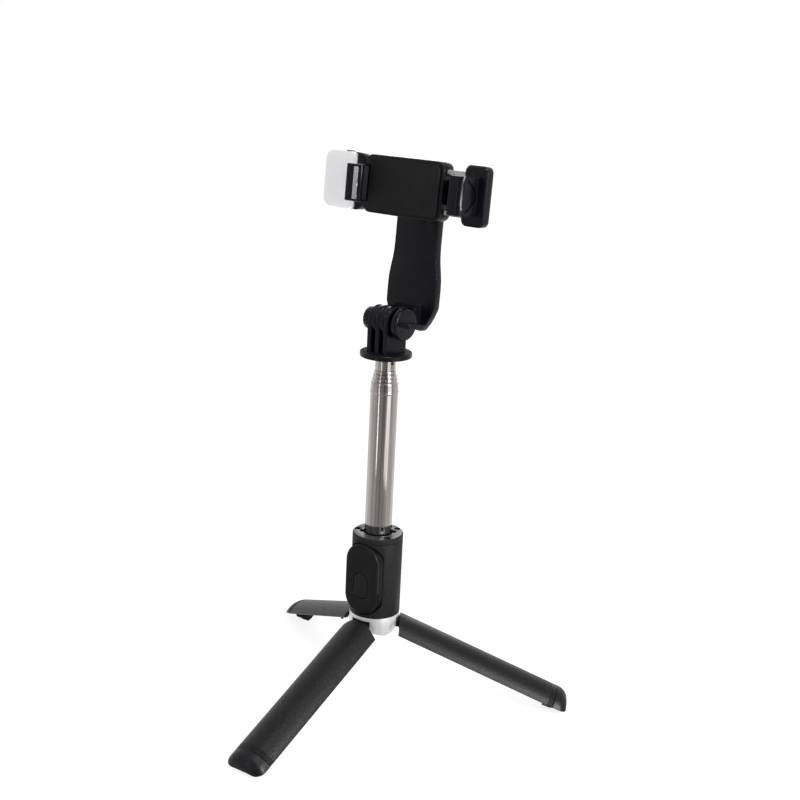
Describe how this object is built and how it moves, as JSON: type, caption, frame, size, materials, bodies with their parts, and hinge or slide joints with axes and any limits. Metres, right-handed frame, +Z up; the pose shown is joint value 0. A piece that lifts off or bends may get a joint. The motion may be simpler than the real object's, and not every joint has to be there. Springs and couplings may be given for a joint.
{
  "type": "tripod selfie stick",
  "caption": "Telescopic pole on folding shell legs, with a pull-out remote, a tilting head, a spring phone clamp and a folding fill light.",
  "frame": {"origin": "on the table plane under the centre of the bounding box, standing with legs open", "axes": "+Z up along the pole, -Y the side a clamped phone's screen faces, -X the fill light's side"},
  "size_m": [0.2066, 0.1895, 0.3084],
  "materials": {
    "handle_plastic": "matte black",
    "leg_plastic": "grained black",
    "head_plastic": "satin black with a violet cast",
    "remote_plastic": "smooth black",
    "silver_hub": "satin silver",
    "tube_steel": "polished, drawn along its length",
    "pin_steel": "plain",
    "bush_brass": "plain",
    "rubber": "matte",
    "diffuser_white": "frosted",
    "board_green": "matte",
    "dark_screw": "blackened",
    "trim_silver": "bright"
  },
  "bodies": {
    "handle": {"handle_body": "handle_plastic", "handle_top_cap": "handle_plastic", "cap_screw_1": "dark_screw", "cap_screw_2": "dark_screw", "cap_screw_3": "dark_screw", "guide_bush": "rubber", "leg_hub": "silver_hub", "leg_pin_a": "pin_steel", "leg_pin_b": "pin_steel", "leg_pin_c": "pin_steel"},
    "leg_a": {"leg_shell_a": "leg_plastic", "leg_liner_a": "leg_plastic", "leg_cap_a": "leg_plastic", "foot_a": "rubber"},
    "leg_b": {"leg_shell_b": "leg_plastic", "leg_liner_b": "leg_plastic", "leg_cap_b": "leg_plastic", "foot_b": "rubber"},
    "leg_c": {"leg_shell_c": "leg_plastic", "leg_liner_c": "leg_plastic", "leg_cap_c": "leg_plastic", "foot_c": "rubber"},
    "remote": {"remote_back": "remote_plastic", "remote_front": "remote_plastic", "remote_board": "board_green", "coin_cell": "pin_steel"},
    "remote_button": {"remote_button": "remote_plastic"},
    "stage_5": {"tube_5": "tube_steel"},
    "stage_4": {"tube_4": "tube_steel", "tube_4_bush": "bush_brass"},
    "stage_3": {"tube_3": "tube_steel", "tube_3_bush": "bush_brass"},
    "stage_2": {"tube_2": "tube_steel", "tube_2_bush": "bush_brass"},
    "stage_1": {"tube_1_bush": "bush_brass"},
    "head": {"tube_1": "tube_steel", "head_base": "head_plastic", "head_rivet": "dark_screw", "knurled_nut": "head_plastic"},
    "thumb_screw": {"thumb_screw": "head_plastic"},
    "tilt_arm": {"tilt_arm": "head_plastic", "pivot_screw": "pin_steel"},
    "clamp": {"clamp_housing": "head_plastic", "clamp_cover": "head_plastic", "clamp_pad": "rubber", "fixed_jaw": "head_plastic", "fixed_jaw_pad": "rubber", "jaw_strip": "trim_silver", "light_pin": "pin_steel", "rod_spring_upper": "pin_steel", "rod_spring_lower": "pin_steel"},
    "slider": {"slider": "head_plastic", "slider_pad": "rubber", "guide_rod_upper": "pin_steel", "guide_rod_lower": "pin_steel"},
    "light": {"light_housing": "head_plastic", "light_diffuser": "diffuser_white", "light_board": "board_green"},
    "light_button": {"light_button": "head_plastic"}
  },
  "joints": [
    {"name": "leg_a_fold", "type": "hinge", "parent": "handle", "child": "leg_a", "pos_m": [0.00587, 0.00961, 0.048], "axis": [0.9951, 0.0993, 0], "range_deg": [0, 67.5]},
    {"name": "leg_b_fold", "type": "hinge", "parent": "handle", "child": "leg_b", "pos_m": [0.01329, 0.02603, 0.048], "axis": [-0.5835, 0.8121, 0], "range_deg": [0, 67.5]},
    {"name": "leg_c_fold", "type": "hinge", "parent": "handle", "child": "leg_c", "pos_m": [-0.00464, 0.02424, 0.048], "axis": [-0.4115, -0.9114, 0], "range_deg": [0, 67.5]},
    {"name": "remote_pull", "type": "slide", "parent": "handle", "child": "remote", "axis": [0.0993, -0.9951, 0], "range_m": [0, 0.014]},
    {"name": "remote_press", "type": "slide", "parent": "remote", "child": "remote_button", "axis": [-0.0993, 0.9951, 0], "range_m": [0, 0.0004], "stiffness_N_per_m": 800},
    {"name": "stage_5_slide", "type": "slide", "parent": "handle", "child": "stage_5", "axis": [0, 0, 1], "range_m": [-0.081, 0]},
    {"name": "stage_4_slide", "type": "slide", "parent": "stage_5", "child": "stage_4", "axis": [0, 0, 1], "range_m": [0, 0.1]},
    {"name": "stage_3_slide", "type": "slide", "parent": "stage_4", "child": "stage_3", "axis": [0, 0, 1], "range_m": [0, 0.1]},
    {"name": "stage_2_slide", "type": "slide", "parent": "stage_3", "child": "stage_2", "axis": [0, 0, 1], "range_m": [0, 0.1]},
    {"name": "stage_1_slide", "type": "slide", "parent": "stage_2", "child": "stage_1", "axis": [0, 0, 1], "range_m": [0, 0.1]},
    {"name": "head_turn", "type": "hinge", "parent": "stage_1", "child": "head", "pos_m": [0.00484, 0.01996, 0.2025], "axis": [0, 0, 1], "continuous": true},
    {"name": "thumb_screw_turn", "type": "hinge", "parent": "head", "child": "thumb_screw", "pos_m": [0.00484, 0.01996, 0.222], "axis": [1, 0, 0], "continuous": true},
    {"name": "arm_tilt", "type": "hinge", "parent": "head", "child": "tilt_arm", "pos_m": [0.00484, 0.01996, 0.222], "axis": [1, 0, 0], "range_deg": [-20, 90]},
    {"name": "clamp_rotate", "type": "hinge", "parent": "tilt_arm", "child": "clamp", "pos_m": [0.00484, 0.02474, 0.29314], "axis": [0, 0.9978, -0.067], "range_deg": [0, 90]},
    {"name": "slider_slide", "type": "slide", "parent": "clamp", "child": "slider", "axis": [1, 0, 0], "range_m": [-0.012, 0.01], "deforming": ["rod_spring_upper", "rod_spring_lower"]},
    {"name": "light_fold", "type": "hinge", "parent": "clamp", "child": "light", "pos_m": [-0.03036, 0.04529, 0.29176], "axis": [0, -0.067, -0.9978], "range_deg": [0, 180]},
    {"name": "light_press", "type": "slide", "parent": "light", "child": "light_button", "axis": [0, -0.067, -0.9978], "range_m": [0, 0.0004], "stiffness_N_per_m": 800}
  ]
}
